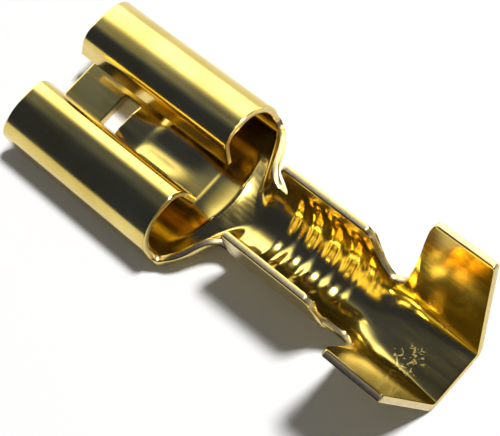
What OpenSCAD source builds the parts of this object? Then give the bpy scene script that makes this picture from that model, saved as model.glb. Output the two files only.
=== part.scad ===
// Female spade terminal, open barrel, stamped and folded from one brass strip.
// X runs from the mouth to the cable end, Y across, Z up.
// The origin lies under the middle of the terminal, on its flat underside.

/* [Sheet] */
// Thickness of the brass strip
sheet_t = 0.3; // [0.25:0.01:0.4]
// Length from the mouth to the cable end
overall_len = 20.8; // [20:0.1:24]

/* [Receptacle] */
// Length of the folded receptacle
box_len = 8.7; // [7.5:0.1:9.5]
// Width over the two rolls
box_w = 7.6; // [6.8:0.1:9]
// Height of the rolls
box_h = 3.0; // [2.7:0.05:3.6]
// Outer radius of the fold between the floor and each roll
floor_fold_r = 0.45; // [0.4:0.05:0.7]
// Outer radius of the fold where each roll turns down to its lip
lip_fold_r = 0.8; // [0.5:0.05:0.95]
// Flat width on top of each roll, between its shoulder and the fold above its lip
roll_flat = 0.35; // [0.2:0.05:0.7]
// Half of the gap between the two rolls
lip_gap_half = 1.05; // [0.9:0.05:1.3]
// Length of the straight lip below its fold
lip_len = 0.95; // [0.7:0.05:1.2]
// Turn of the fold above the lip, over 90 leans the lip outward
lip_turn = 77; // [70:1:90]
// Length by which the top of each roll is cut back at the mouth
mouth_back = 0.65; // [0.3:0.05:1]
// Height above which the rolls are cut back at the mouth
mouth_back_z = 1.3; // [1:0.05:1.8]

/* [Floor] */
// Distance from the mouth to the window
window_x = 2.32; // [1.8:0.05:2.6]
// Length of the window
window_len = 0.87; // [0.6:0.05:1.1]
// Width of the window
window_w = 1.7; // [1.2:0.05:1.8]
// Height of the locking tongue behind the window
tongue_h = 0.12; // [0.06:0.02:0.3]
// Length of the locking tongue
tongue_len = 1.2; // [0.8:0.05:1.6]
// Height of the sides of the shallow trough in front of the tab stop
ramp_h = 0.16; // [0.08:0.02:0.3]
// Length of the trough up to the tab stop
ramp_len = 3.8; // [2:0.1:3.9]
// Share of that height missing in the middle at the front of the trough
ramp_dip = 0.9; // [0.4:0.05:1]
// Half width of the trough
ramp_half = 1.2; // [0.9:0.05:1.4]
// Distance from the tab stop to the end of the receptacle
stop_back = 0.4; // [0.3:0.05:0.6]
// Height of the step at the tab stop
stop_h = 0.04; // [0.02:0.02:0.16]
// Height of the bowed crest behind the tab stop
crest_h = 0.32; // [0.24:0.02:0.5]
// Distance from the tab stop to the middle of the crest
crest_run = 1.15; // [0.9:0.05:1.4]
// Distance by which the crest comes forward at 1 mm from its middle
crest_bow = 0.13; // [0.08:0.01:0.2]
// Length of the fall behind the crest
crest_fall = 1.6; // [1.2:0.05:2]
// Width of plain floor at each side of the formed panel
panel_side = 0.35; // [0.25:0.05:0.6]

/* [Neck] */
// Developed half width at the narrowest place of the neck
neck_half = 2.0; // [1.8:0.05:2.2]
// Length of the neck
neck_len = 2.6; // [2.2:0.1:3.2]
// Distance from the narrowest place of the neck to the wire barrel
neck_waist_back = 0.25; // [0.15:0.05:0.4]
// Developed height of the neck's sides where they leave the receptacle
neck_side = 0.6; // [0.4:0.05:0.8]
// Radius of the inner corner between the neck's sides and the rolls
neck_corner = 0.45; // [0.3:0.05:0.6]
// Length over which the flat floor narrows to nothing in the neck
neck_bowl_len = 2.1; // [1.8:0.05:2.2]
// Length over which the floor fold opens to the radius of the wire barrel
neck_round_len = 1.2; // [1:0.05:1.6]

/* [Wire barrel] */
// Length of the wire barrel
wire_len = 4.75; // [4:0.05:5.2]
// Outer radius of the wire barrel
wire_r = 1.8; // [1.6:0.05:2]
// Height of the wire wings
wire_h = 3.85; // [3.2:0.05:4.4]
// Length of the cut slope at each end of the wire wings
wire_cut = 0.4; // [0.3:0.05:0.6]
// Number of serration grooves
groove_count = 4; // [3:1:5]
// Distance between the serration grooves
groove_pitch = 0.98; // [0.7:0.02:1]
// Depth of the serration grooves
groove_depth = 0.1; // [0.04:0.01:0.12]
// Width of the serration grooves
groove_w = 0.5; // [0.3:0.02:0.6]
// Developed half length of the serration grooves
groove_half = 3.6; // [2.6:0.1:3.8]

/* [Insulation barrel] */
// Length of the insulation barrel along its floor
grip_len = 3.5; // [3.2:0.05:4]
// Half width of the flat floor of the insulation barrel
grip_floor_half = 0.8; // [0.6:0.05:1.1]
// Middle radius of the fold at each side of that floor
grip_fold_r = 0.7; // [0.5:0.05:0.9]
// Angle of the insulation wings from the floor
grip_angle = 73; // [65:1:85]
// Height of the insulation wings
grip_h = 5.4; // [4.4:0.05:5.8]
// Length by which the front edge of the insulation wings slopes back
grip_slope = 0.85; // [0.6:0.05:1.1]

/* [Hidden] */
brass = "#c9a24a";
half_t = sheet_t / 2;
seam = 0.1;

// Places along the terminal, measured from the mouth.
window_end = window_x + window_len;
tongue_end = window_end + tongue_len;
stop_x = box_len - stop_back;
neck_x = box_len + neck_len;
wire_x = neck_x;
wire_end = wire_x + wire_len;
grip_x = overall_len - grip_len;
shoulder_r = box_w / 2 - lip_gap_half - lip_fold_r - roll_flat;
floor_half = box_w / 2 - floor_fold_r;
panel_half = floor_half - panel_side;

// Middle radius of the wire barrel and developed half widths of both barrels.
wire_mid_r = wire_r - half_t;
wire_half = wire_mid_r * PI / 2 + wire_h - wire_r;
grip_arc = grip_fold_r * grip_angle * PI / 180;
grip_rise = grip_fold_r * (1 - cos(grip_angle));
grip_half = grip_floor_half + grip_arc + (grip_h - half_t - grip_rise) / sin(grip_angle);

function clamp01(v) = min(1, max(0, v));
function smooth(v) = let (c = clamp01(v)) c * c * (3 - 2 * c);
function mix(a, b, v) = a + (b - a) * v;

// A point and heading of a fold path: [y, z, heading].
function step_run(p, len) = [p[0] + len * cos(p[2]), p[1] + len * sin(p[2]), p[2]];
function step_arc(p, r, turn) =
    [p[0] + r * (sin(p[2] + turn) - sin(p[2])), p[1] - r * (cos(p[2] + turn) - cos(p[2])), p[2] + turn];
function arc_steps(p, r, turn, n) = [for (i = [1:n]) step_arc(p, r, turn * i / n)];

// Middle line of one roll, from the floor out, up, over and down to the lip.
roll_start = [0, half_t, 0];
roll_floor = step_run(roll_start, floor_half);
roll_fold = arc_steps(roll_floor, floor_fold_r - half_t, 90, 6);
roll_side = step_run(roll_fold[5], box_h - floor_fold_r - shoulder_r);
roll_over = arc_steps(roll_side, shoulder_r - half_t, 90, 10);
roll_top = step_run(roll_over[9], roll_flat);
roll_lip = arc_steps(roll_top, lip_fold_r - half_t, lip_turn, 6);
roll_end = step_run(roll_lip[5], lip_len);
roll_path = concat(
    [roll_start, roll_floor], roll_fold, [roll_side], roll_over, [roll_top], roll_lip, [roll_end]);

function beside(p, d) = [p[0] - d * sin(p[2]), p[1] + d * cos(p[2])];
function strip_outline(path, d0, d1) =
    concat([for (p = path) beside(p, d0)], [for (i = [len(path) - 1:-1:0]) beside(path[i], d1)]);

module along_x(len) {
    rotate([90, 0, 90])
        linear_extrude(len)
            children();
}

// One half of the receptacle: half the floor and one roll.
module receptacle_half() {
    along_x(box_len)
        polygon(strip_outline(roll_path, -half_t, half_t));
}

// Slanted wedge that cuts the upper part of both rolls back at the mouth.
module mouth_cut() {
    rise = box_h - mouth_back_z;
    rotate([90, 0, 0])
        linear_extrude(box_w + 2, center = true)
            polygon([[-1, mouth_back_z], [0, mouth_back_z], [mouth_back * 2, mouth_back_z + rise * 2],
                     [-1, mouth_back_z + rise * 2]]);
}

module receptacle() {
    difference() {
        union() {
            receptacle_half();
            mirror([0, 1, 0])
                receptacle_half();
        }
        mouth_cut();
        translate([window_x, -window_w / 2, -1])
            cube([box_len, window_w, 1 + 2 * sheet_t]);
        translate([window_end, -panel_half, -1])
            cube([box_len, 2 * panel_half, 1 + 2 * sheet_t]);
    }
}

// Cross-section of the formed strip at distance x: flat half width, fold radius and fold angle.
function neck_v(x, len) = clamp01((x - box_len) / len);
function grip_u(x) = smooth((x - wire_end) / (grip_x - wire_end + grip_slope / 2));
function flat_half(x) =
    x < wire_end ? floor_half * (1 - smooth(pow(neck_v(x, neck_bowl_len), 0.8)))
    : grip_floor_half * grip_u(x);
function fold_r(x) =
    x < wire_end ? mix(floor_fold_r - half_t, wire_mid_r, smooth(neck_v(x, neck_round_len)))
    : mix(wire_mid_r, grip_fold_r, grip_u(x));
function fold_angle(x) = x < wire_end ? 90 : mix(90, grip_angle, grip_u(x));

// Middle line of that section at developed distance s: [y, z, heading].
function on_strip(s, x) =
    let (b = flat_half(x), r = fold_r(x), a = fold_angle(x), bend = max(0, s - b) / r * 180 / PI)
    s <= b ? [s, 0, 0]
    : bend <= a ? [b + r * sin(bend), r * (1 - cos(bend)), bend]
    : let (more = s - b - r * a * PI / 180)
      [b + r * sin(a) + more * cos(a), r * (1 - cos(a)) + more * sin(a), a];

// Developed half width of the neck, with a round inner corner at the rolls.
function neck_edge(x) =
    let (v = neck_v(x, neck_len - neck_waist_back))
    mix(floor_half + neck_side, neck_half, smooth(pow(v, 1.15)))
    + neck_corner * pow(1 - neck_v(x, neck_corner * 0.7), 2);

// Raised forms of the floor panel: the tongue, the trough, and the step and bowed crest that stop the tab.
function across(y, half, flat) = 1 - smooth((abs(y) / half - flat) / (1 - flat));
function tongue(x) = tongue_h * (1 - clamp01((x - window_end) / tongue_len));
function trough(x, y) =
    let (t = clamp01(1 - (stop_x - x) / ramp_len))
    ramp_h * pow(t, 0.8) * (1 - ramp_dip * (1 - t) * (1 - smooth(abs(y) / ramp_half)));
function crest_x(y) = stop_x + max(0.2, crest_run - crest_bow * y * y);
function stop_form(x, y) =
    let (foot = trough(stop_x, y) + stop_h)
    x < stop_x ? trough(x, y)
    : x < crest_x(y) ? foot + (crest_h - foot) * pow((x - stop_x) / (crest_x(y) - stop_x), 2)
    : crest_h * (1 - smooth((x - crest_x(y)) / crest_fall));
function raised(x, y) =
    tongue(x) * across(y, window_w / 2, 0.3) + stop_form(x, y) * across(y, panel_half, 0.25);

// Stations along the strip: [x, developed half width, groove depth].
grooves_x = wire_x + (wire_len - (groove_count - 1) * groove_pitch) / 2 + 0.1;
panel_stations = concat(
    [for (i = [0:3]) [mix(window_end, tongue_end, i / 3), panel_half + seam, 0]],
    [for (i = [1:7]) [mix(tongue_end, stop_x - seam, i / 7), panel_half + seam, 0]],
    [for (i = [0:2]) [mix(stop_x, box_len, i / 2), panel_half + seam, 0]]);
neck_steps = concat(
    [-seam, 0, 0.04, 0.1, 0.18, 0.3, 0.45, 0.6],
    [for (i = [0:6]) mix(0.8, neck_len - 0.6, i / 6)]);
neck_stations = [for (d = concat(neck_steps, [neck_len - 0.3])) [box_len + d, neck_edge(box_len + d), 0]];
wire_stations = concat(
    [[wire_x, neck_half, 0], [wire_x + wire_cut * 0.6, mix(neck_half, wire_half, 0.75), 0]],
    [[wire_x + wire_cut, wire_half, 0]],
    [for (i = [0:groove_count - 1])
        let (x = grooves_x + i * groove_pitch)
        each [[x - groove_w / 2, wire_half, 0], [x - groove_w / 3, wire_half, groove_depth],
              [x + groove_w / 3, wire_half, groove_depth], [x + groove_w / 2, wire_half, 0]]],
    [[wire_end - wire_cut / 2, wire_half, 0], [wire_end, wire_half - wire_cut, 0]]);
back_stations = [for (v = [0.15, 0.4, 0.8, 1.4, 2])
    [wire_end + wire_cut * v, neck_half * (1 + 0.42 * pow(1 - v / 2, 2.5)), 0]];
grip_stations = concat(
    [for (i = [0:3])
        [mix(wire_end + wire_cut * 2.3, grip_x, i / 3), neck_half * (1 + 0.16 * pow(i / 3, 2)), 0]],
    [for (v = [0.2, 0.4, 0.6, 0.8, 1])
        [grip_x + grip_slope * v, mix(neck_half * 1.16, grip_half, clamp01(1.1 * v - 0.04)), 0]],
    [for (i = [1:3]) [mix(grip_x + grip_slope, overall_len, i / 3), grip_half, 0]]);
body_stations = concat(neck_stations, wire_stations, back_stations, grip_stations);

// Point of the upper (side 1) or lower (side -1) face at a station and column.
columns = 14;
function strip_point(st, j, side) =
    let (s = st[1] * abs(j) / columns, q = on_strip(s, st[0]),
         cut = side > 0 && s < groove_half ? st[2] : 0,
         d = side * half_t - cut)
    [st[0], sign(j) * (q[0] - d * sin(q[2])), half_t + q[1] + d * cos(q[2]) + raised(st[0], q[0])];

// Sheet of the given stations, closed at its sides and ends.
module formed_strip(stations) {
    rows = len(stations);
    width = 2 * columns + 1;
    points = [for (side = [1, -1]) for (st = stations) for (j = [-columns:columns]) strip_point(st, j, side)];
    lower = rows * width;
    faces = concat(
        [for (i = [0:rows - 2]) for (j = [0:width - 2])
            let (a = i * width + j)
            each [[a, a + 1, a + width + 1], [a, a + width + 1, a + width]]],
        [for (i = [0:rows - 2]) for (j = [0:width - 2])
            let (a = lower + i * width + j)
            each [[a, a + width + 1, a + 1], [a, a + width, a + width + 1]]],
        [for (i = [0:rows - 2]) for (j = [0, width - 1])
            let (a = i * width + j, b = a + width, c = lower + b, e = lower + a)
            each (j == 0 ? [[a, b, c], [a, c, e]] : [[a, c, b], [a, e, c]])],
        [for (i = [0, rows - 1]) for (j = [0:width - 2])
            let (a = i * width + j, b = a + 1, c = lower + b, e = lower + a)
            each (i == 0 ? [[a, c, b], [a, e, c]] : [[a, b, c], [a, c, e]])]);
    polyhedron(points, faces, convexity = 8);
}

module terminal() {
    color(brass)
        translate([-overall_len / 2, 0, 0]) {
            receptacle();
            formed_strip(panel_stations);
            formed_strip(body_stations);
        }
}

terminal();
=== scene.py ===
"""Looks for the female spade terminal: one formed brass sheet on a white studio floor."""

import math
from itertools import accumulate, pairwise

import bmesh
import bpy
from mathutils import Matrix, Vector


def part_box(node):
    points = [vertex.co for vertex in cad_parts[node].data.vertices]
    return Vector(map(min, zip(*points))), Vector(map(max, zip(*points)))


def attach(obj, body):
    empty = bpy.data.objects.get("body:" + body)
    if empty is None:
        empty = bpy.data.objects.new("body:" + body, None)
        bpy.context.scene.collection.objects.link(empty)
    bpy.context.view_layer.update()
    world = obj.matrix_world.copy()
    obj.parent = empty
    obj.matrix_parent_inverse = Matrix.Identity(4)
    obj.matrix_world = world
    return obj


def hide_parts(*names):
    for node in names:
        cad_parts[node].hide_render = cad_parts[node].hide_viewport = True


MM = 0.001
TINY = 1e-9
COUNT_SLACK = 1e-6

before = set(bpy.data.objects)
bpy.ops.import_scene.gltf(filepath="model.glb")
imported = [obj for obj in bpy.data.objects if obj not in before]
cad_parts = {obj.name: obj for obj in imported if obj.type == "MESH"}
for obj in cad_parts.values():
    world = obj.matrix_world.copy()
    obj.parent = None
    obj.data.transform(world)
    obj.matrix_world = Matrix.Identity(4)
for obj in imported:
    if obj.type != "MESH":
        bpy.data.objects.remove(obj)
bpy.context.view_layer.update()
low, high = (Vector(corner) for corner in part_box("terminal"))
length = high.x - low.x
width = high.y - low.y
mouth_x = low.x

# ---------------------------------------------------------------- sizes, in metres
# Places along the terminal are measured from its mouth, and widths along the developed sheet.
SHEET = 0.3 * MM
HALF = SHEET / 2
EDGE_ROUND = 0.06 * MM
EDGE_SOFT = 0.3
CREASE_ANGLE = math.radians(40)

# Receptacle: floor, rolls, lips and the cut-back mouth.
BOX_LEN = 8.7 * MM
BOX_H = 3.0 * MM
FLOOR_FOLD_R = 0.45 * MM
SHOULDER_R = 1.6 * MM
LIP_FOLD_R = 0.8 * MM
LIP_GAP_HALF = 1.05 * MM
LIP_LEN = 0.95 * MM
LIP_TURN = math.radians(77)
MOUTH_BACK = 0.65 * MM
MOUTH_BACK_Z = 1.3 * MM
MOUTH_BLEND = 2.0 * MM
MOUTH_BAND = 0.4 * MM

# Window and the locking tongue behind it.
WINDOW_X = 2.32 * MM
WINDOW_LEN = 0.87 * MM
WINDOW_HALF = 0.85 * MM
TONGUE_H = 0.12 * MM
TONGUE_LEN = 1.2 * MM
TONGUE_FLAT = 0.3

# Trough in front of the tab stop, and the swell of its sides.
RAMP_H = 0.16 * MM
RAMP_LEN = 3.8 * MM
RAMP_DIP = 0.9
RAMP_HALF = 1.2 * MM
RAMP_POWER = 0.8
SWELL_H = 0.1 * MM
SWELL_HALF = 0.9 * MM
SWELL_X = 4.4 * MM
SWELL_RISE = 0.6 * MM
SWELL_RUN = 1.9 * MM
SWELL_FALL = 1.4 * MM

# Low step and bowed crest that stop the tab.
STOP_BACK = 0.4 * MM
STOP_H = 0.02 * MM
STOP_EASE = 0.2 * MM
STOP_SIDE = 0.7
STOP_FLAT = 0.3
CREST_H = 0.32 * MM
CREST_RUN = 1.15 * MM
CREST_RUN_MIN = 0.2 * MM
CREST_BOW = 0.13 / MM
CREST_FALL = 1.6 * MM
CREST_DROP = 1.9
CREST_ROUND = 0.1
PANEL_SIDE = 0.35 * MM
PANEL_FLAT = 0.25

# Neck.
NECK_HALF = 2.0 * MM
NECK_LEN = 2.6 * MM
NECK_WAIST_BACK = 0.25 * MM
NECK_SIDE = 0.6 * MM
NECK_SIDE_POWER = 1.15
NECK_CORNER = 0.45 * MM
NECK_CORNER_SHARE = 0.7
NECK_BOWL_LEN = 2.1 * MM
NECK_BOWL_POWER = 0.8
NECK_ROUND_LEN = 1.2 * MM
NOTCH_LEN = 0.12 * MM
NOTCH_SIDE = 0.2 * MM

# Wire barrel and its serration grooves.
WIRE_LEN = 4.75 * MM
WIRE_R = 1.8 * MM
WIRE_H = 3.85 * MM
WIRE_CUT = 0.4 * MM
WIRE_CUT_TOP = 0.75
WIRE_CORNER = 0.3 * MM
WIRE_CORNER_OVER = 0.4
GROOVES = 4
GROOVE_PITCH = 0.98 * MM
GROOVE_DEPTH = 0.095 * MM
GROOVE_REACH = 0.46 * MM
GROOVE_HALF = 3.6 * MM
GROOVE_SHIFT = 0.1 * MM
GROOVE_FADE = 0.35 * MM

# Saddle between the barrels.
SADDLE_STEP = 0.05 * MM
SADDLE_ROW = 0.03 * MM
SADDLE_FALL = 0.8 * MM
SADDLE_TOP = 1.4
SADDLE_OVER = 0.55 * MM
SADDLE_TIGHT = 0.74

# Insulation barrel. The wings' planes meet the floor's plane at GRIP_FOOT.
GRIP_LEN = 3.5 * MM
GRIP_FOOT = 1.318 * MM
GRIP_FOLD_R = 0.35 * MM
GRIP_ANGLE = math.radians(73)
GRIP_H = 5.4 * MM
GRIP_START = 1.14
GRIP_LOW = 1.6
GRIP_SLOPE = 0.85 * MM
GRIP_SLOPE_FOOT = 0.25
GRIP_SLOPE_TOP = 0.85
GRIP_SHOULDER = 0.5 * MM
GRIP_SHOULDER_OVER = 0.3
GRIP_TRIM = 0.1 * MM

WINDOW_END = WINDOW_X + WINDOW_LEN
STOP_X = BOX_LEN - STOP_BACK
FLOOR_HALF = width / 2 - FLOOR_FOLD_R
PANEL_HALF = FLOOR_HALF - PANEL_SIDE
NECK_ROOT = FLOOR_HALF + NECK_SIDE + NECK_CORNER
NECK_X = BOX_LEN + NECK_LEN
WIRE_END = NECK_X + WIRE_LEN
GRIP_X = length - GRIP_LEN
WIRE_MID_R = WIRE_R - HALF
WIRE_HALF = WIRE_MID_R * math.pi / 2 + WIRE_H - WIRE_R
GROOVE_X = NECK_X + (WIRE_LEN - (GROOVES - 1) * GROOVE_PITCH) / 2 + GROOVE_SHIFT
GRIP_FLOOR = GRIP_FOOT - GRIP_FOLD_R * math.tan(GRIP_ANGLE / 2)
GRIP_RISE = GRIP_H - HALF - GRIP_FOLD_R * (1 - math.cos(GRIP_ANGLE))
GRIP_HALF = GRIP_FLOOR + GRIP_FOLD_R * GRIP_ANGLE + GRIP_RISE / math.sin(GRIP_ANGLE)
FOLD_SAVING = 2 * math.tan(GRIP_ANGLE / 2) - GRIP_ANGLE

# Largest distance between columns, on what the barrels share with the floor and on the rolls.
COLUMN_INNER = 0.085 * MM
COLUMN_OUTER = 0.1 * MM

# Largest distance between rows up to each group of stops, closer where the form changes fast.
ROW_GROUPS = [
    (0.12 * MM, [MOUTH_BAND, WINDOW_X]),
    (0.1 * MM, [WINDOW_END, STOP_X - STOP_EASE]),
    (0.04 * MM, [STOP_X + STOP_EASE]),
    (0.06 * MM, [BOX_LEN]),
    (0.05 * MM, [BOX_LEN + NECK_CORNER, NECK_X]),
    (0.035 * MM, [NECK_X + WIRE_CUT + WIRE_CORNER / 2]),
    (0.045 * MM, [WIRE_END - WIRE_CORNER]),
    (0.035 * MM, [WIRE_END, WIRE_END + SADDLE_ROW, WIRE_END + SADDLE_FALL]),
    (0.08 * MM, [GRIP_X]),
    (0.04 * MM, [GRIP_X + GRIP_SLOPE + GRIP_SHOULDER * GRIP_SHOULDER_OVER]),
    (0.14 * MM, [length - GRIP_TRIM]),
    (0.03 * MM, [length]),
]


# ---------------------------------------------------------------- curves
def mix(a, b, v):
    return a + (b - a) * v


def clamp01(v):
    return min(1.0, max(0.0, v))


def smooth(v):
    v = clamp01(v)
    return v * v * (3 - 2 * v)


def fade(y, half, flat):
    """One up to the share flat of the half width, then easing to zero at its end."""
    return 1 - smooth((abs(y) / half - flat) / (1 - flat))


def ease_between(x, knots):
    """Value at x of a curve through knots (x, value, way), straight or eased in or out."""
    for (x0, v0, _), (x1, v1, way) in pairwise(knots):
        if x <= x1:
            u = clamp01((x - x0) / (x1 - x0))
            if way == "out":
                u = math.sin(u * math.pi / 2)
            elif way == "in":
                u = 1 - math.cos(u * math.pi / 2)
            return mix(v0, v1, u)
    return knots[-1][1]


def spread(stops, step):
    """Evenly filled values through the given stops, at most step apart."""
    values = [stops[0]]
    for a, b in pairwise(stops):
        n = max(1, math.ceil((b - a) / step - COUNT_SLACK))
        values += [mix(a, b, (i + 1) / n) for i in range(n)]
    return values


def along(runs, s):
    """Point at developed distance s along runs (length, turn) of straights and arcs."""
    y, z, heading = 0.0, HALF, 0.0
    for run, turn in runs:
        part = min(s, run)
        if turn:
            r = run / turn
            bend = part / r
            y += r * (math.sin(heading + bend) - math.sin(heading))
            z -= r * (math.cos(heading + bend) - math.cos(heading))
            heading += bend
        else:
            y += part * math.cos(heading)
            z += part * math.sin(heading)
        s -= part
        if s <= 0:
            break
    return y, z


# ---------------------------------------------------------------- form of the sheet
def roll_line():
    """Runs of the receptacle's section from the middle out, up, over and down to the lip."""
    return [
        (FLOOR_HALF, 0.0),
        ((FLOOR_FOLD_R - HALF) * math.pi / 2, math.pi / 2),
        (BOX_H - FLOOR_FOLD_R - SHOULDER_R, 0.0),
        ((SHOULDER_R - HALF) * math.pi / 2, math.pi / 2),
        (width / 2 - SHOULDER_R - LIP_GAP_HALF - LIP_FOLD_R, 0.0),
        ((LIP_FOLD_R - HALF) * LIP_TURN, LIP_TURN),
        (LIP_LEN, 0.0),
    ]


def neck_v(x, run):
    """Share of the given run behind the receptacle."""
    return clamp01((x - BOX_LEN) / run)


def strip_shape(x):
    """Flat half width, fold radius and fold angle of the strip behind the receptacle."""
    if x < WIRE_END:
        flat = FLOOR_HALF * (1 - smooth(neck_v(x, NECK_BOWL_LEN) ** NECK_BOWL_POWER))
        r = mix(FLOOR_FOLD_R - HALF, WIRE_MID_R, smooth(neck_v(x, NECK_ROUND_LEN)))
        return flat, r, math.pi / 2
    u = smooth((x - WIRE_END) / (GRIP_X + SADDLE_OVER - WIRE_END))
    tight = clamp01((x - WIRE_END) / (length - WIRE_END)) ** SADDLE_TIGHT
    r = mix(WIRE_MID_R, GRIP_FOLD_R, tight)
    flat = GRIP_FOOT - r * math.tan(GRIP_ANGLE / 2)
    return flat * u, r, mix(math.pi / 2, GRIP_ANGLE, u)


def neck_half_width(x):
    """Developed half width of the neck, with a round inner corner at the rolls."""
    v = neck_v(x, NECK_LEN - NECK_WAIST_BACK)
    side = mix(FLOOR_HALF + NECK_SIDE, NECK_HALF, smooth(v**NECK_SIDE_POWER))
    return side + NECK_CORNER * (1 - neck_v(x, NECK_CORNER * NECK_CORNER_SHARE)) ** 2


def half_width(x):
    """Developed half width of the strip behind the receptacle."""
    if x < NECK_X:
        return neck_half_width(x)
    knots = [
        (NECK_X, NECK_HALF, ""),
        (NECK_X + NOTCH_LEN, NECK_HALF + NOTCH_SIDE, "in"),
        (NECK_X + WIRE_CUT * WIRE_CUT_TOP, WIRE_HALF - WIRE_CORNER, "line"),
        (NECK_X + WIRE_CUT + WIRE_CORNER * WIRE_CORNER_OVER, WIRE_HALF, "out"),
        (WIRE_END - WIRE_CORNER, WIRE_HALF, "line"),
        (WIRE_END, WIRE_HALF - WIRE_CORNER, "in"),
        (WIRE_END + SADDLE_STEP, NECK_HALF * SADDLE_TOP, "line"),
        (WIRE_END + SADDLE_FALL, NECK_HALF, "out"),
        (GRIP_X, NECK_HALF * GRIP_START, "in"),
        (GRIP_X + GRIP_SLOPE * GRIP_SLOPE_FOOT, NECK_HALF * GRIP_LOW, "line"),
        (GRIP_X + GRIP_SLOPE * GRIP_SLOPE_TOP, GRIP_HALF - GRIP_SHOULDER, "line"),
        (GRIP_X + GRIP_SLOPE + GRIP_SHOULDER * GRIP_SHOULDER_OVER, GRIP_HALF, "out"),
        (length - GRIP_TRIM, GRIP_HALF, "line"),
        (length, GRIP_HALF - GRIP_TRIM, "in"),
    ]
    wider_fold = strip_shape(x)[1] - GRIP_FOLD_R
    saved = FOLD_SAVING * wider_fold * smooth((x - GRIP_X) / GRIP_SLOPE)
    return ease_between(x, knots) - saved


def trough(x, y):
    """Shallow trough in front of the tab stop, lower in its middle, with swelling sides."""
    t = clamp01(1 - (STOP_X - x) / RAMP_LEN)
    dip = RAMP_DIP * (1 - t) * (1 - smooth(abs(y) / RAMP_HALF))
    back = smooth((x - SWELL_X - SWELL_RUN) / SWELL_FALL)
    swell = smooth((x - SWELL_X) / SWELL_RISE) * (1 - back)
    return RAMP_H * t**RAMP_POWER * (1 - dip) + SWELL_H * smooth(abs(y) / SWELL_HALF) * swell


def stop_form(x, y):
    """Trough, low step and bowed crest that stop the tab, before they fade towards the sides."""
    step = STOP_H * fade(y, PANEL_HALF * STOP_SIDE, STOP_FLAT)
    if x < STOP_X:
        return trough(x, y) + step * smooth(1 - (STOP_X - x) / STOP_EASE)
    crest_x = STOP_X + max(CREST_RUN_MIN, CREST_RUN - CREST_BOW * y * y)
    if x < crest_x:
        foot = trough(STOP_X, y) + step
        return foot + (CREST_H - foot) * ((x - STOP_X) / (crest_x - STOP_X)) ** 2
    t = clamp01((x - crest_x) / CREST_FALL)
    return CREST_H * (1 - (1 - (1 - t) ** CREST_DROP) * smooth(t / CREST_ROUND))


def raised(x, y):
    """Height of the forms pressed up from the floor behind the window."""
    if x < WINDOW_END - TINY:
        return 0.0
    tongue = TONGUE_H * (1 - clamp01((x - WINDOW_END) / TONGUE_LEN))
    return tongue * fade(y, WINDOW_HALF, TONGUE_FLAT) + stop_form(x, y) * fade(y, PANEL_HALF, PANEL_FLAT)


def groove_at(x, s):
    """Depth of the serration grooves on the inner face."""
    reach = 1 - smooth((s - GROOVE_HALF) / GROOVE_FADE + 0.5)
    depth = 0.0
    for i in range(GROOVES):
        d = min(1.0, abs(x - GROOVE_X - i * GROOVE_PITCH) / GROOVE_REACH)
        depth = max(depth, GROOVE_DEPTH * (1 + math.cos(d * math.pi)) / 2 * reach)
    return depth


# ---------------------------------------------------------------- middle surface
def sheet_rows():
    """Places of the rows along the terminal."""
    rows = [0.0]
    for step, stops in ROW_GROUPS:
        rows += spread([rows[-1], *stops], step)[1:]
    return rows


def sheet_columns(runs):
    """Developed places of the columns on one side, and how many go on behind the receptacle."""
    ends = list(accumulate(run for run, _ in runs))
    shared = spread([0, WINDOW_HALF, *ends[:2], NECK_ROOT], COLUMN_INNER)
    rolled = spread([NECK_ROOT, *(end for end in ends if end > NECK_ROOT + TINY)], COLUMN_OUTER)
    return shared + rolled[1:], len(shared)


def receptacle_point(x, s, runs):
    """Point on the receptacle, whose rolls are cut back at the mouth."""
    y, z = along(runs, s)
    if s <= PANEL_HALF:
        z += raised(x, y)
    back = MOUTH_BACK * clamp01((z - MOUTH_BACK_Z) / (BOX_H - MOUTH_BACK_Z))
    return x + back * clamp01(1 - x / MOUTH_BLEND), y, z


def strip_point(x, s):
    """Point on the neck or a barrel."""
    flat, r, turn = strip_shape(x)
    y, z = along([(flat, 0.0), (r * turn, turn), (length, 0.0)], s)
    return x, y, z + raised(x, y)


def vertex_row(bm, depth_layer, x, columns, runs):
    """Vertices across the sheet at one place, by column number, negative on one side."""
    row = {}
    for j in range(1 - len(columns), len(columns)):
        s = columns[abs(j)]
        if x <= BOX_LEN + TINY:
            at, y, z = receptacle_point(x, s, runs)
            cut = 0.0
        else:
            s *= half_width(x) / NECK_ROOT
            at, y, z = strip_point(x, s)
            cut = groove_at(x, s)
        side = 1 if j >= 0 else -1
        row[j] = bm.verts.new((mouth_x + at, side * y, low.z + z))
        row[j][depth_layer] = cut
    return row


def middle_sheet():
    """Middle surface of the sheet as a quad mesh, with each vertex's groove depth."""
    runs = roll_line()
    columns, shared = sheet_columns(runs)
    window_columns = min(range(shared), key=lambda k: abs(columns[k] - WINDOW_HALF))
    bm = bmesh.new()
    depth_layer = bm.verts.layers.float.new("groove")
    rows = []
    for x in sheet_rows():
        here = columns if x <= BOX_LEN + TINY else columns[:shared]
        rows.append((x, vertex_row(bm, depth_layer, x, here, runs)))
    for (x0, a), (x1, b) in pairwise(rows):
        beside_window = WINDOW_X < (x0 + x1) / 2 < WINDOW_END
        for j in sorted(b)[:-1]:
            open_here = beside_window and max(abs(j), abs(j + 1)) <= window_columns
            if not open_here:
                bm.faces.new((a[j], b[j], b[j + 1], a[j + 1]))
    loose = [v for v in bm.verts if not v.link_faces]
    bmesh.ops.delete(bm, geom=loose, context="VERTS")
    bm.normal_update()
    return bm, depth_layer


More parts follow.
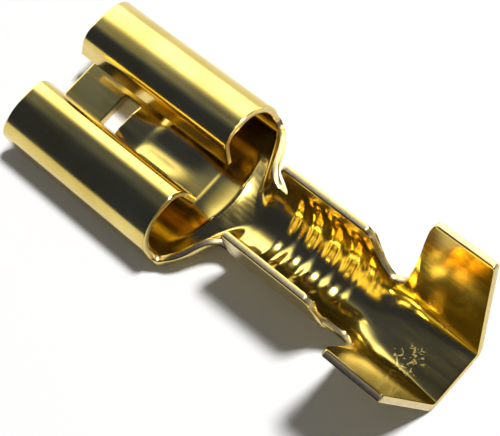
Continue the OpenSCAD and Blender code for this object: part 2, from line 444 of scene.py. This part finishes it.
# ---------------------------------------------------------------- thickness and edges
def outward_at(vert):
    """Direction in the sheet that points out of its edge at a border vertex."""
    out = Vector()
    for edge in vert.link_edges:
        if len(edge.link_faces) != 1:
            continue
        face = edge.link_faces[0]
        middle = (edge.verts[0].co + edge.verts[1].co) / 2
        along_edge = (edge.verts[1].co - edge.verts[0].co).normalized()
        away = middle - face.calc_center_median()
        away -= along_edge * away.dot(along_edge)
        out += away.normalized()
    return out.normalized()


def through_sheet(vert, cut):
    """Points through the sheet from its inner to its outer face, around the edge at a border."""
    n = vert.normal
    inner = HALF - cut
    if not any(len(edge.link_faces) == 1 for edge in vert.link_edges):
        return [vert.co + n * inner, vert.co - n * HALF]
    out = outward_at(vert) * EDGE_ROUND
    soft = EDGE_ROUND * EDGE_SOFT
    return [
        vert.co + n * inner - out,
        vert.co + n * (inner - soft) - out * EDGE_SOFT,
        vert.co + n * (inner - EDGE_ROUND),
        vert.co,
        vert.co - n * (HALF - EDGE_ROUND),
        vert.co - n * (HALF - soft) - out * EDGE_SOFT,
        vert.co - n * HALF - out,
    ]


def inside_box(co):
    """The point, kept within the part's own width and rear end."""
    return min(high.x, co.x), min(width / 2, max(-width / 2, co.y)), co.z


def thick_sheet(bm, depth_layer):
    """Both faces of the sheet and its rounded edge: points, faces and which faces are sheared."""
    points, faces, sheared = [], [], []
    index = {}
    for vert in bm.verts:
        ring = through_sheet(vert, vert[depth_layer])
        index[vert] = range(len(points), len(points) + len(ring))
        points += [inside_box(co) for co in ring]
    for face in bm.faces:
        faces.append([index[v][0] for v in face.verts])
        faces.append([index[v][-1] for v in reversed(face.verts)])
        sheared += [False, False]
    for edge in bm.edges:
        if len(edge.link_faces) != 1:
            continue
        loop = edge.link_loops[0]
        a, b = index[loop.vert], index[loop.link_loop_next.vert]
        for (a0, a1), (b0, b1) in zip(pairwise(a), pairwise(b)):
            faces.append([a0, a1, b1, b0])
        sheared += [False, False, True, True, False, False]
    return points, faces, sheared


def build_terminal():
    bm, depth_layer = middle_sheet()
    points, faces, sheared = thick_sheet(bm, depth_layer)
    bm.free()
    mesh = bpy.data.meshes.new("formed_sheet")
    mesh.from_pydata(points, [], faces)
    mesh.polygons.foreach_set("material_index", [int(flag) for flag in sheared])
    mesh.polygons.foreach_set("use_smooth", [True] * len(faces))
    mesh.update()
    mesh.set_sharp_from_angle(angle=CREASE_ANGLE)
    piece = bpy.data.objects.new("formed_sheet", mesh)
    bpy.context.collection.objects.link(piece)
    return piece


# ---------------------------------------------------------------- materials
# Each scuffed place (centre measured from the mouth, the middle and the underside) and its reach.
SCUFFS = [
    ((19.0 * MM, -0.5 * MM, SHEET), 1.0 * MM),
    ((19.2 * MM, 1.4 * MM, 0.6 * MM), 0.45 * MM),
]
SCUFF_CORE = 0.4
SCUFF_LIFT = 0.18
SCUFF_ROUGH = 0.22


def node_maker(tree):
    """Function that adds a node to the tree, with its inputs by name or number and its settings."""

    def make(kind, inputs=None, **settings):
        node = tree.nodes.new(kind)
        for key, value in settings.items():
            setattr(node, key, value)
        for key, value in (inputs or {}).items():
            node.inputs[key].default_value = value
        return node

    return make


def joined(make, link, a, b, **settings):
    """Result of a maths node on two sockets."""
    node = make("ShaderNodeMath", **settings)
    link(a, node.inputs[0])
    link(b, node.inputs[1])
    return node.outputs["Value"]


def set_bands(ramp, bands):
    """Gives a colour ramp its bands (position, red, green, blue) in rising order."""
    elements = ramp.color_ramp.elements
    while len(elements) < len(bands):
        elements.new(1.0)
    for element, (position, *tone) in zip(elements, bands):
        element.position = position
        element.color = (*tone, 1)


def new_metal(name):
    """Metallic material with its shader, node maker, linker and the object's own coordinates."""
    material = bpy.data.materials.new(name)
    material.use_nodes = True
    tree = material.node_tree
    make = node_maker(tree)
    shader = tree.nodes["Principled BSDF"]
    shader.inputs["Metallic"].default_value = 1.0
    place = make("ShaderNodeTexCoord").outputs["Object"]
    return material, shader, make, tree.links.new, place


def brass_material():
    """Bright rolled brass: faint rolling lines along the strip, soft stains and fine scuffs."""
    material, shader, make, link, place = new_metal("rolled_brass")
    stretch = make("ShaderNodeMapping", {"Scale": (400, 5000, 5000)})
    link(place, stretch.inputs["Vector"])
    lines = make("ShaderNodeTexNoise", {"Scale": 1.0, "Detail": 4.0})
    link(stretch.outputs["Vector"], lines.inputs["Vector"])
    stains = make("ShaderNodeTexNoise", {"Scale": 500.0, "Detail": 5.0})
    link(place, stains.inputs["Vector"])
    tint = make("ShaderNodeValToRGB")
    set_bands(tint, [(0.35, 0.66, 0.49, 0.11), (0.7, 0.77, 0.6, 0.17)])
    link(stains.outputs["Fac"], tint.inputs["Fac"])
    link(tint.outputs["Color"], shader.inputs["Base Color"])
    levels = {"From Min": 0.35, "From Max": 0.7, "To Min": 0.13, "To Max": 0.2}
    gloss = make("ShaderNodeMapRange", levels)
    link(lines.outputs["Fac"], gloss.inputs["Value"])
    scuffs = scuff_mask(make, link, place)
    worn = make("ShaderNodeMath", {1: SCUFF_ROUGH}, operation="MULTIPLY_ADD")
    link(scuffs, worn.inputs[0])
    link(gloss.outputs["Result"], worn.inputs[2])
    link(worn.outputs["Value"], shader.inputs["Roughness"])
    bump = make("ShaderNodeBump", {"Strength": 0.04, "Distance": 0.02 * MM})
    link(lines.outputs["Fac"], bump.inputs["Height"])
    dents = make("ShaderNodeBump", {"Strength": 0.25, "Distance": 0.01 * MM}, invert=True)
    link(scuffs, dents.inputs["Height"])
    link(bump.outputs["Normal"], dents.inputs["Normal"])
    link(dents.outputs["Normal"], shader.inputs["Normal"])
    return material


def near_scuff(make, link, place, spot, reach):
    """What a scuffed place adds to the noise: most at its core, nothing beyond its reach."""
    x, y, z = spot
    away = make("ShaderNodeVectorMath", {1: (mouth_x + x, y, low.z + z)}, operation="DISTANCE")
    link(place, away.inputs[0])
    levels = {"From Min": reach, "From Max": reach * SCUFF_CORE, "To Max": SCUFF_LIFT}
    near = make("ShaderNodeMapRange", levels, interpolation_type="SMOOTHSTEP")
    link(away.outputs["Value"], near.inputs["Value"])
    return near.outputs["Result"]


def scuff_mask(make, link, place):
    """Curly scuffs on the insulation barrel's floor and in its fold, and a few specks all over."""
    lift, *others = [near_scuff(make, link, place, spot, reach) for spot, reach in SCUFFS]
    for other in others:
        lift = joined(make, link, lift, other, operation="MAXIMUM")
    curls = make("ShaderNodeTexNoise", {"Scale": 4200.0, "Detail": 3.0, "Distortion": 1.5})
    link(place, curls.inputs["Vector"])
    total = joined(make, link, curls.outputs["Fac"], lift, operation="ADD")
    levels = {"From Min": 0.68, "From Max": 0.84}
    mask = make("ShaderNodeMapRange", levels, interpolation_type="SMOOTHSTEP")
    link(total, mask.inputs["Value"])
    return mask.outputs["Result"]


def sheared_material():
    """Cut edge of the strip: rougher, with torn specks of paler metal."""
    material, shader, make, link, place = new_metal("sheared_edge")
    tears = make("ShaderNodeTexNoise", {"Scale": 9000.0, "Detail": 3.0})
    link(place, tears.inputs["Vector"])
    tint = make("ShaderNodeValToRGB")
    set_bands(tint, [(0.0, 0.45, 0.32, 0.12), (1.0, 0.85, 0.72, 0.4)])
    link(tears.outputs["Fac"], tint.inputs["Fac"])
    link(tint.outputs["Color"], shader.inputs["Base Color"])
    shader.inputs["Roughness"].default_value = 0.38
    bump = make("ShaderNodeBump", {"Strength": 0.2, "Distance": 0.02 * MM})
    link(tears.outputs["Fac"], bump.inputs["Height"])
    link(bump.outputs["Normal"], shader.inputs["Normal"])
    return material


# ---------------------------------------------------------------- stage
FLOOR_SIZE = 2.0
FLOOR_GAP = 0.01 * MM

# Levels of the studio from its dark side to its bright side, which faces BRIGHT_AZIMUTH.
BRIGHT_AZIMUTH = 220
STUDIO_BANDS = [
    (0.0, 0.03, 0.04, 0.12),
    (0.3, 0.035, 0.045, 0.13),
    (0.47, 0.09, 0.12, 0.3),
    (0.56, 0.5, 0.52, 0.56),
    (0.64, 1.6, 1.6, 1.6),
    (0.76, 3.0, 3.0, 3.0),
]
AMBIENT = 0.12

KEY_AZIMUTH = 147
KEY_ELEVATION = 62.3
KEY_DISTANCE = 0.6
KEY_SIZE = 0.084
KEY_POWER = 3.6


def direction(azimuth, elevation):
    a, e = math.radians(azimuth), math.radians(elevation)
    return Vector((math.sin(a) * math.cos(e), -math.cos(a) * math.cos(e), math.sin(e)))


def build_floor():
    bpy.ops.mesh.primitive_plane_add(size=FLOOR_SIZE, location=(0, 0, low.z - FLOOR_GAP))
    floor = bpy.context.object
    floor.name = "floor"
    material = bpy.data.materials.new("white_floor")
    material.use_nodes = True
    shader = material.node_tree.nodes["Principled BSDF"]
    shader.inputs["Base Color"].default_value = (1, 1, 1, 1)
    shader.inputs["Roughness"].default_value = 1.0
    shader.inputs["Specular IOR Level"].default_value = 0.0
    floor.data.materials.append(material)


def seen_ray(make, link):
    """One for the camera's rays and for rays that metal or glass sends on, zero for diffuse ones."""
    path = make("ShaderNodeLightPath")
    total = path.outputs["Is Camera Ray"]
    for name in ("Is Glossy Ray", "Is Transmission Ray"):
        total = joined(make, link, total, path.outputs[name], operation="ADD", use_clamp=True)
    return total


def build_world():
    """A dim studio with one bright side, which brass mirrors in bands, over a plain ambient."""
    world = bpy.data.worlds.new("studio")
    bpy.context.scene.world = world
    world.use_nodes = True
    tree = world.node_tree
    tree.nodes.clear()
    make, link = node_maker(tree), tree.links.new
    place = make("ShaderNodeTexCoord").outputs["Generated"]
    facing = make("ShaderNodeVectorMath", {1: direction(BRIGHT_AZIMUTH, 0)}, operation="DOT_PRODUCT")
    link(place, facing.inputs[0])
    ramp = make("ShaderNodeValToRGB")
    set_bands(ramp, STUDIO_BANDS)
    link(facing.outputs["Value"], ramp.inputs["Fac"])
    studio = make("ShaderNodeBackground")
    link(ramp.outputs["Color"], studio.inputs["Color"])
    ambient = make("ShaderNodeBackground", {"Color": (AMBIENT, AMBIENT, AMBIENT, 1)})
    choose = make("ShaderNodeMixShader")
    link(seen_ray(make, link), choose.inputs["Fac"])
    link(ambient.outputs["Background"], choose.inputs[1])
    link(studio.outputs["Background"], choose.inputs[2])
    link(choose.outputs["Shader"], make("ShaderNodeOutputWorld").inputs["Surface"])


def build_key_light():
    light = bpy.data.lights.new("key", "AREA")
    light.shape = "SQUARE"
    light.size = KEY_SIZE
    light.energy = KEY_POWER
    lamp = bpy.data.objects.new("key", light)
    bpy.context.collection.objects.link(lamp)
    lamp.location = direction(KEY_AZIMUTH, KEY_ELEVATION) * KEY_DISTANCE
    lamp.rotation_euler = (-lamp.location).to_track_quat("-Z", "Y").to_euler()


# ---------------------------------------------------------------- camera
CAMERA_AZIMUTH = 70.16
CAMERA_ELEVATION = 62.27
CAMERA_ROLL = -29.75
CAMERA_DISTANCE = 53.46 * MM
CLIP_START = 0.001
CLIP_END = 10
SENSOR_WIDTH = 36
LENS_PER_SENSOR = 2.845
AIM_X = 11.224 * MM
AIM_Y_SHARE = -0.0385
AIM_Z = 2.0 * MM


def build_camera():
    data = bpy.data.cameras.new("camera")
    data.sensor_width = SENSOR_WIDTH
    data.lens = SENSOR_WIDTH * LENS_PER_SENSOR
    data.clip_start = CLIP_START
    data.clip_end = CLIP_END
    camera = bpy.data.objects.new("camera", data)
    bpy.context.collection.objects.link(camera)
    back = direction(CAMERA_AZIMUTH, CAMERA_ELEVATION)
    target = Vector((mouth_x + AIM_X, AIM_Y_SHARE * width, low.z + AIM_Z))
    camera.location = target + back * CAMERA_DISTANCE
    turn = back.to_track_quat("Z", "Y").to_matrix().to_4x4()
    roll = Matrix.Rotation(math.radians(CAMERA_ROLL), 4, "Z")
    camera.matrix_world = Matrix.Translation(camera.location) @ turn @ roll
    bpy.context.scene.camera = camera


terminal = build_terminal()
terminal.data.materials.append(brass_material())
terminal.data.materials.append(sheared_material())
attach(terminal, "root")
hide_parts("terminal")
build_floor()
build_world()
build_key_light()
build_camera()
bpy.context.scene.view_settings.view_transform = "Standard"
